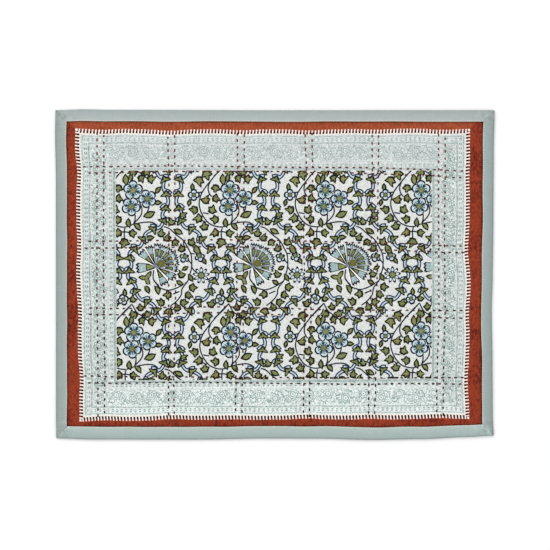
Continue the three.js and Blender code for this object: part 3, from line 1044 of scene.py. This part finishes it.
# The panel: a fine grid for the printed face, one of twice the spacing underneath, and walls between the two.
def quiltedPanel():
    left, right = -halfWidth + panel["edgeInset"], halfWidth - panel["edgeInset"]
    bottom, top = -halfDepth + panel["edgeInset"], halfDepth - panel["edgeInset"]
    across, up = [2 * round(span / panel["spacing"] / 2) for span in (right - left, top - bottom)]
    x, y = np.meshgrid(np.linspace(left, right, across + 1), np.linspace(bottom, top, up + 1))
    planX, planY = x.ravel(), y.ravel()
    topside, underside = panelFaces(planX, planY)
    settledX, settledY = drawIn(planX, planY)
    upper = np.stack([settledX, settledY, topside], 1)
    coarse = np.zeros((up + 1, across + 1), bool)
    coarse[::2, ::2] = True
    lower = np.stack([settledX, settledY, underside], 1)[coarse.ravel()]
    upperNumber = np.arange(len(upper)).reshape(up + 1, across + 1)
    lowerNumber = len(upper) + np.arange(len(lower)).reshape(up // 2 + 1, across // 2 + 1)
    upperFaces = gridFaces(up + 1, across + 1)
    lowerFaces = gridFaces(up // 2 + 1, across // 2 + 1, len(upper))[:, ::-1]
    wall = lambda above, below: np.stack([below[:-1], below[1:], above[2::2], above[1::2], above[:-1:2]], 1)
    walls = np.vstack([
        wall(upperNumber[0], lowerNumber[0]), wall(upperNumber[:, -1], lowerNumber[:, -1]),
        wall(upperNumber[-1, ::-1], lowerNumber[-1, ::-1]), wall(upperNumber[::-1, 0], lowerNumber[::-1, 0]),
    ])
    slots = np.concatenate([np.zeros(len(upperFaces)), np.ones(len(lowerFaces) + len(walls))])
    made = makeObject("quilted_cloth", np.vstack([upper, lower]), [upperFaces, lowerFaces, walls],
                      [printedCotton(), plainCotton("backing_cotton", panel["backing"])], slots)

    # The printed face fills most of the map; the backing and the walls have small corners of it
    share = np.stack([(planX - left) / (right - left), (planY - bottom) / (top - bottom)], 1)
    upperUv = share[upperFaces] * (0.98, 0.80) + (0.01, 0.01)
    lowerShare = share[coarse.ravel()]
    lowerUv = lowerShare[lowerFaces - len(upper)] * (0.24, 0.15) + (0.01, 0.83)
    wallUv = np.full((len(walls), 5, 2), 0.9) + np.linspace(0, 0.02, 5)[None, :, None]
    setUv(made, np.vstack([upperUv.reshape(-1, 2), lowerUv.reshape(-1, 2), wallUv.reshape(-1, 2)]))

    layPrint(made, planX, planY, upperFaces, len(lowerFaces) * 4 + len(walls) * 5)
    return made


# Gives the printed face's corners their places on the block and in the repeat; the corners of other faces get none.
def layPrint(made, planX, planY, faces, otherCorners):
    blockX, blockY = printPlace(planX, planY)
    block = np.stack([blockX, blockY], 1)
    drifted = np.stack([blockX + valueAt(prints["drift"], planX), blockY], 1)
    corners = drifted[faces] - prints["repeatPlace"]
    middles = corners.mean(1)
    width, height = prints["repeat"]
    home = np.stack([np.round(middles[:, 0] / width) * width, np.ceil(middles[:, 1] / height) * height], 1)
    corners, middles = corners - home[:, None], middles - home

    def give(name, *columns):
        columns = [np.broadcast_to(column, corners.shape[:2]) for column in columns]
        values = np.stack(columns, -1).reshape(-1, 3)
        setCornerVector(made, name, np.vstack([values, np.zeros((otherCorners, 3))]))

    ribbons = [ribbonLine(-1), ribbonLine(1)]
    hooks = [smoothLine(hook, 3) for side in (-1, 1) for hook in ribbonHooks(side)]
    for name, lines in (("vinePlace", vines), ("twigPlace", twigs)):
        give(name, *linePlaces(corners, middles, [smoothLine(line) for line in lines]), 0)
    give("ribbonPlace", *linePlaces(corners, middles, ribbons + hooks), 0)

    # Leaves: the charted ones, and a hood across each node of the ribbons, its tip up between the two links
    ivyBend = 1.8
    ivy, long, hood, armed = range(4)
    chart = [(x, y, aim, size, ivy, ivyBend * ((0.38 * i) % 1 - 0.5))
             for i, (x, y, aim, size) in enumerate(ivyLeaves)]
    chart += [(x, y, aim, size, long, bend) for x, y, aim, size, bend in longLeaves]
    chart += [(x, y, aim, size, armed, 0) for x, y, aim, size in armedLeaves]
    for side in (-1, 1):
        nodes, links = ribbonLinks(side)[:2]
        upLink = -links / np.linalg.norm(links, axis=1)[:, None]
        upward = upLink + np.roll(upLink, 1, axis=0)
        chart += [(x, y, np.degrees(np.arctan2(rise, run)), ribbon["leaf"], hood, 0)
                  for (x, y), (run, rise) in zip(nodes[:-1], upward)]
    chart = np.array(chart, float)
    chart = np.column_stack([chart, (np.arange(len(chart)) * 0.618) % 1 - 0.5])
    forward, leftward, size, (kind, bend, tone) = motifPlaces(corners, middles, chart, 0.5)
    give("leafPlace", forward, leftward + bend[:, None] * (forward**2 - 0.1), size[:, None])
    give("leafKind", kind[:, None], tone[:, None], 0)
    acrossFan, upFan, isReached = fanPlaces(corners, middles)
    give("fanPlace", acrossFan, upFan, isReached[:, None])
    forward, leftward, size, (petals, style) = motifPlaces(corners, middles, np.array(flowers, float), 1.0)
    give("flowerPlace", forward, leftward, size[:, None])
    give("flowerKind", petals[:, None], style[:, None], 0)
    give("blockPlace", block[faces][..., 0], block[faces][..., 1], 0)
    widths = binding["widths"]
    fromBinding = np.minimum(np.minimum(halfWidth + planX - widths["left"], halfWidth - planX - widths["right"]),
                             np.minimum(halfDepth + planY - widths["bottom"], halfDepth - planY - widths["top"]))
    give("edgePlace", fromBinding[faces], 0, 0)


binding = {
    "widths": {"bottom": 13.3, "right": 11.7, "top": 12.3, "left": 11.9},
    "shown": {                  # how each side looks in the photo's light
        "bottom": (170, 187, 183),
        "right": (156, 170, 168),
        "top": (170, 181, 179),
        "left": (157, 170, 167),
    },
    "rimShade": {"bottom": 0.35, "right": 0.3, "top": 0.08, "left": 0.3},
    "cloth": 0.7,
    "spacing": 2.0,
    "crown": 0.22,              # the flap's swell between the rim and the topstitch
    "stitchInset": 0.7,         # the topstitch's place in from the flap's free edge
    "stitchDip": 0.25,
    "dipReach": 0.8,
    "edgeRound": (0.25, 0.35),  # how far the free edge rounds down, and over what width
    "edgeWaver": 0.3,
    "waverLength": 55,
    "uneven": [(0.1, 38, 1.1), (0.12, 12, 0.3)],    # (height, length, phase)
    "mitreGap": 0.06,
    "mitreRoll": 0.1,
    "rollReach": 0.7,
    "cornerPucker": 0.55,       # soft folds close to a mitre
    "puckerLength": 7,
    "puckerReach": 9,
}
sides = ["bottom", "right", "top", "left"]


# Turns side-on points (along the side, in from the edge) by quarter turns on to the mat's plan.
def turnToSide(side, along, inset):
    turn = sides.index(side)
    across = mat["width"] if turn % 2 else mat["depth"]
    away = inset - across / 2
    for _ in range(turn):
        along, away = -away, along
    return along, away


# How high a binding flap's outer face stands over the cloth's own level: half a sine from the rim to the topstitch,
# less a bell-shaped dip along the stitches and an eased rounding at the free edge.
def flapSwell(inset, width):
    crown = binding["crown"] * np.sin(np.pi * np.clip(inset / (width - binding["stitchInset"]), 0, 1))
    dip = binding["stitchDip"] * np.exp(-((inset - width + binding["stitchInset"]) / binding["dipReach"]) ** 2)
    roundDrop, roundWidth = binding["edgeRound"]
    return crown - dip - roundDrop * ease(inset, width - roundWidth, width)


# How far a flap's free edge wanders inwards at each place along its side.
def edgeWander(side, along):
    turn = sides.index(side)
    return binding["edgeWaver"] * waver(along, turn * 90.0, binding["waverLength"], turn)


# A length of binding: the section runs in level, round the rim in a half circle and back, and is carried along the
# side between its two mitres; its inner face follows a cloth's thickness inside the outer one.
def bindingLength(side, material):
    turn = sides.index(side)
    width = binding["widths"][side]
    before, after = [binding["widths"][sides[(turn + step) % 4]] for step in (-1, 1)]
    span = mat["depth"] if turn % 2 else mat["width"]
    radius = mat["thickness"] / 2
    nearEdge = width - np.array([0, 0.12, 0.4, 0.9])
    flap = np.concatenate([nearEdge, np.linspace(width - 1.5, radius, 12)])
    arc = np.linspace(0, np.pi, 9)[1:-1]
    inset = np.concatenate([flap, radius - radius * np.sin(arc), flap[::-1]])
    angle = np.concatenate([np.zeros(len(flap)), arc, np.full(len(flap), np.pi)])
    isFront = angle > np.pi / 2
    normalIn, normalUp = -np.sin(angle), -np.cos(angle)
    swell = np.where(isFront, flapSwell(inset, width), 0)
    outerIn, outerUp = inset, radius + radius * normalUp + swell
    innerIn, innerUp = outerIn - binding["cloth"] * normalIn, outerUp - binding["cloth"] * normalUp
    ends = np.array([0, 0.25, 0.6, 1.2])
    middle = np.linspace(2, span - 2, round(span / binding["spacing"]))
    station = np.concatenate([ends, middle, span - ends[::-1]]) / span
    loopIn = np.concatenate([outerIn, innerIn[::-1]])
    loopUp = np.concatenate([outerUp, innerUp[::-1]])
    count, around = len(station), len(loopIn)
    depth = np.clip(loopIn, 0, width)
    start = -span / 2 + depth * before / width + binding["mitreGap"]
    end = span / 2 - depth * after / width - binding["mitreGap"]
    along = start[None] + (end - start)[None] * station[:, None]
    edge = edgeWander(side, along) * (loopIn / width) ** 2
    planX, planY = turnToSide(side, along, loopIn[None] + edge)
    uneven = sum(height * waver(planX, planY, length, phase) for height, length, phase in binding["uneven"])
    fromEnd = np.minimum(station, 1 - station)[:, None] * span
    front = (loopUp > radius)[None]
    pucker = binding["cornerPucker"] * waver(planX, planY, binding["puckerLength"], 0.9)
    folds = pucker * np.exp(-fromEnd / binding["puckerReach"])
    roll = binding["mitreRoll"] * np.exp(-fromEnd / binding["rollReach"])
    height = loopUp[None] + np.where(front, uneven + folds - roll, 0)
    settledX, settledY = drawIn(planX, planY)
    points = np.stack([settledX, settledY, height], -1).reshape(-1, 3)

    number = np.arange(count * around).reshape(count, around)
    ring = np.concatenate([number, number[:, :1]], 1)
    walls = np.stack([ring[:-1, :-1], ring[1:, :-1], ring[1:, 1:], ring[:-1, 1:]], -1).reshape(-1, 4)
    half = around // 2
    outer, inner = number[:, :half], number[:, :half - 1:-1]
    cap = lambda row: np.stack([outer[row, :-1], outer[row, 1:], inner[row, 1:], inner[row, :-1]], 1)
    faces = np.vstack([walls[:, ::-1], cap(0), cap(-1)[:, ::-1]])
    made = makeObject("binding_cloth_" + side, points, [faces], [material])
    place = np.stack(np.broadcast_arrays(station[:, None], np.arange(around)[None] / around), -1).reshape(-1, 2)
    uv = place[faces]
    uv[:, :, 1] = np.where((uv[:, :, 1] == 0) & (uv[:, :, 1].max(1) > 0.9)[:, None], 1, uv[:, :, 1])
    setUv(made, uv * 0.98 + 0.01)
    flap = np.stack(np.broadcast_arrays(loopIn[None], loopIn[None] / width, fromEnd), -1).reshape(-1, 3)
    setCornerVector(made, "flapPlace", flap[faces])
    return made


stitches = {
    "shown": (34, 8, 10),       # near the diner, and at the far side, painted lighter there as painted light
    "shownFarLit": (110, 44, 38),
    "front": {"thickness": 1.5, "raised": 0.375, "arch": 0.4, "sidesRound": 6, "rings": 6},
    "back": {"thickness": 1.125, "raised": 0.15, "arch": 0.3, "sidesRound": 4, "rings": 4},
    "edgeShown": (240, 220, 200),
    "edgePitch": 2.25,
    "edgeLength": 1.6,
    "edgeThickness": 1.1,
    "edgeArch": 0.3,
    "edgeSunk": 0.25,           # how far the back's topstitch is sunk into the cloth
    "edgeClear": 1.5,           # how far short of the mitre it stops
}


# Many stitches as one mesh: each is a tube that swells from its ends, arched so that the ends dip into the cloth.
def sewnRow(name, centre, heading, length, thickness, arch, face, material, sidesRound, rings):
    t = np.linspace(-1, 1, rings)
    turn = np.arange(sidesRound) * 2 * np.pi / sidesRound
    swell = thickness / 2 * np.sqrt(1 - 0.9 * t**4)
    heading = heading / np.linalg.norm(heading, axis=1)[:, None]
    sideways = np.stack([-heading[:, 1], heading[:, 0], np.zeros(len(heading))], 1)
    upward = np.cross(heading, sideways)
    forward = t[None, :, None] * length[:, None, None] / 2 * np.ones(sidesRound)
    aside = (swell[:, None] * np.cos(turn))[None]
    above = (swell[:, None] * np.sin(turn) * 0.8 - face * arch * t[:, None] ** 2)[None]
    points = (centre[:, None, None] + forward[..., None] * heading[:, None, None]
              + aside[..., None] * sideways[:, None, None] + above[..., None] * upward[:, None, None])
    number = np.arange(len(centre) * rings * sidesRound).reshape(len(centre), rings, sidesRound)
    ring = np.concatenate([number, number[:, :, :1]], 2)
    tube = np.stack([ring[:, :-1, :-1], ring[:, 1:, :-1], ring[:, 1:, 1:], ring[:, :-1, 1:]], -1).reshape(-1, 4)
    caps = np.vstack([number[:, 0], number[:, -1, ::-1]])
    return makeObject(name, points.reshape(-1, 3), [tube[:, ::-1], caps], [material])


# Every hand stitch's place on the plan: along each row from binding to binding, a pitch apart, a little uneven.
def quiltingPlaces(halfStep=0.0):
    places, headings = [], []
    reachAcross, reachUp = quilting["rowReach"]
    for row in range(len(quilting["columns"])):
        y = firstStitch(row) + halfStep + quilting["pitch"] * np.arange(-30, 31)
        y = y[np.abs(y) < reachUp]
        y = y + quilting["stray"] * np.sin(3.3 * y + row)
        places.append(np.stack([columnAt(row, y), y], 1))
        headings.append(np.stack([quilting["tilt"] * np.sin(5 * y), np.ones(len(y))], 1))
    for row in range(len(quilting["courses"])):
        x = firstStitch(row + 3) + halfStep + quilting["pitch"] * np.arange(-36, 37)
        x = x[np.abs(x) < reachAcross]
        x = x + quilting["stray"] * np.sin(2.9 * x + row)
        places.append(np.stack([x, courseAt(row, x)], 1))
        headings.append(np.stack([np.ones(len(x)), quilting["tilt"] * np.sin(5 * x)], 1))
    return np.vstack(places), np.vstack(headings)


# Lays plan points on one of the panel's faces and gives the heading its slope there.
def onPanel(places, headings, face):
    reach = 1.2
    ends = [places - headings * reach, places + headings * reach]
    heights = [panelFaces(end[:, 0], end[:, 1])[0 if face > 0 else 1] for end in ends]
    middle = panelFaces(places[:, 0], places[:, 1])[0 if face > 0 else 1]
    settled = np.stack(drawIn(places[:, 0], places[:, 1]), 1)
    slope = (heights[1] - heights[0]) / (2 * reach)
    return np.column_stack([settled, middle]), np.column_stack([headings, slope])


# The hand stitches of one face; those of the back lie between those of the front. Lengths vary along a sine.
def quiltingStitches(name, face, material):
    thread = stitches["front" if face > 0 else "back"]
    places, headings = quiltingPlaces(0 if face > 0 else quilting["pitch"] / 2)
    centre, heading = onPanel(places, headings, face)
    centre[:, 2] += thread["raised"]
    length = quilting["stitch"] * (1 + 0.12 * np.sin(7 * places[:, 0] + 3 * places[:, 1]))
    return sewnRow(name, centre, heading, length, thread["thickness"], thread["arch"], face, material,
                   thread["sidesRound"], thread["rings"])


# The ecru topstitch along each binding flap's free edge, on the front and again on the back.
def edgeTopstitch(name, face, material):
    centres, headings = [], []
    unevenHeight, unevenLength, unevenPhase = binding["uneven"][0]
    for side in sides:
        width = binding["widths"][side]
        span = mat["depth"] if sides.index(side) % 2 else mat["width"]
        inset = width - binding["stitchInset"]
        reach = span / 2 - inset - stitches["edgeClear"]
        along = np.arange(-reach, reach, stitches["edgePitch"])
        edge = edgeWander(side, along) * (inset / width) ** 2
        planX, planY = turnToSide(side, along, inset + edge)
        settled = np.stack(drawIn(planX, planY), 1)
        aheadX, aheadY = turnToSide(side, along + 1, inset + edge)
        heading = np.stack([aheadX - planX, aheadY - planY, np.zeros(len(along))], 1)
        uneven = unevenHeight * waver(planX, planY, unevenLength, unevenPhase)
        front = mat["thickness"] + flapSwell(inset, width) + uneven + 0.02
        height = front if face > 0 else np.full(len(along), stitches["edgeSunk"])
        centres.append(np.column_stack([settled, height]))
        headings.append(heading)
    centre, heading = np.vstack(centres), np.vstack(headings)
    length = np.full(len(centre), stitches["edgeLength"])
    return sewnRow(name, centre, heading, length, stitches["edgeThickness"], stitches["edgeArch"], face, material,
                   sidesRound=4, rings=5)


quiltedCloth = quiltedPanel()
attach(quiltedCloth, "root")
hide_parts("quilted_panel")
print("panel:", len(quiltedCloth.data.polygons), "faces")

for side in sides:
    # each side's cotton is its own copy, coloured with that side's painted light, and its flaps carry painted light
    # and shade
    cotton = plainCotton("binding_cotton_" + side, binding["shown"][side], 0.06, flapPaintedLightAndShade(side))
    strip = bindingLength(side, cotton)
    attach(strip, "root")
    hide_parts("binding_" + side)
    print("binding", side, len(strip.data.polygons), "faces")

# the quilting thread's far-side colour is painted light, lighter away from the diner
quiltingThread = sewingThread("quilting_thread", stitches["shown"], stitches["shownFarLit"])
for name, face in (("quilting_stitches", 1), ("quilting_stitches_back", -1)):
    row = quiltingStitches(name, face, quiltingThread)
    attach(row, "root")
    print(name, len(row.data.polygons), "faces")

edgeThread = sewingThread("edge_thread", stitches["edgeShown"], stitches["edgeShown"])
for name, face in (("edge_topstitch", 1), ("edge_topstitch_back", -1)):
    topstitch = edgeTopstitch(name, face, edgeThread)
    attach(topstitch, "root")
    print(name, len(topstitch.data.polygons), "faces")


# Floor, lights and camera
camera = {
    "height": 1.6,
    "shownWidth": 0.5751,       # how much of the table the picture's width takes in
    "centre": (0.0002, -0.00045),
    "film": 36,
}


# A pale floor, an even white room, and two soft lights: each is (name, place, power, size).
def plainStudio():
    bpy.context.scene.view_settings.view_transform = "Standard"
    world = bpy.data.worlds.new("soft_room")
    world.use_nodes = True
    world.node_tree.nodes["Background"].inputs["Color"].default_value = (1, 1, 1, 1)
    world.node_tree.nodes["Background"].inputs["Strength"].default_value = studio["room"]
    bpy.context.scene.world = world
    reach, under = studio["floorReach"], studio["floorHeight"]
    corners = [(-reach, -reach, under), (reach, -reach, under), (reach, reach, under), (-reach, reach, under)]
    material, _, surface = newMaterial("pale_floor")
    surface.inputs["Base Color"].default_value = studio["floorTone"]
    surface.inputs["Roughness"].default_value = 0.9
    floor = makeObject("floor", np.array(corners), [np.array([[0, 1, 2, 3]])], [material])
    for name, place, power, size in studio["lights"]:
        light = bpy.data.lights.new(name, "AREA")
        light.energy, light.size = power, size
        lamp = bpy.data.objects.new(name, light)
        lamp.location = place
        lamp.rotation_mode = "QUATERNION"
        lamp.rotation_quaternion = Vector(-np.array(place)).to_track_quat("-Z", "Y")
        bpy.context.scene.collection.objects.link(lamp)


# Looks straight down; its lens takes in shownWidth at the height of the mat's face.
def topCamera():
    lens = bpy.data.cameras.new("camera")
    lens.sensor_width = camera["film"]
    lens.lens = camera["film"] * (camera["height"] - mat["thickness"] * mm) / camera["shownWidth"]
    eye = bpy.data.objects.new("camera", lens)
    eye.location = camera["centre"] + (camera["height"],)
    bpy.context.scene.collection.objects.link(eye)
    bpy.context.scene.camera = eye


plainStudio()
topCamera()
print("studio ready")
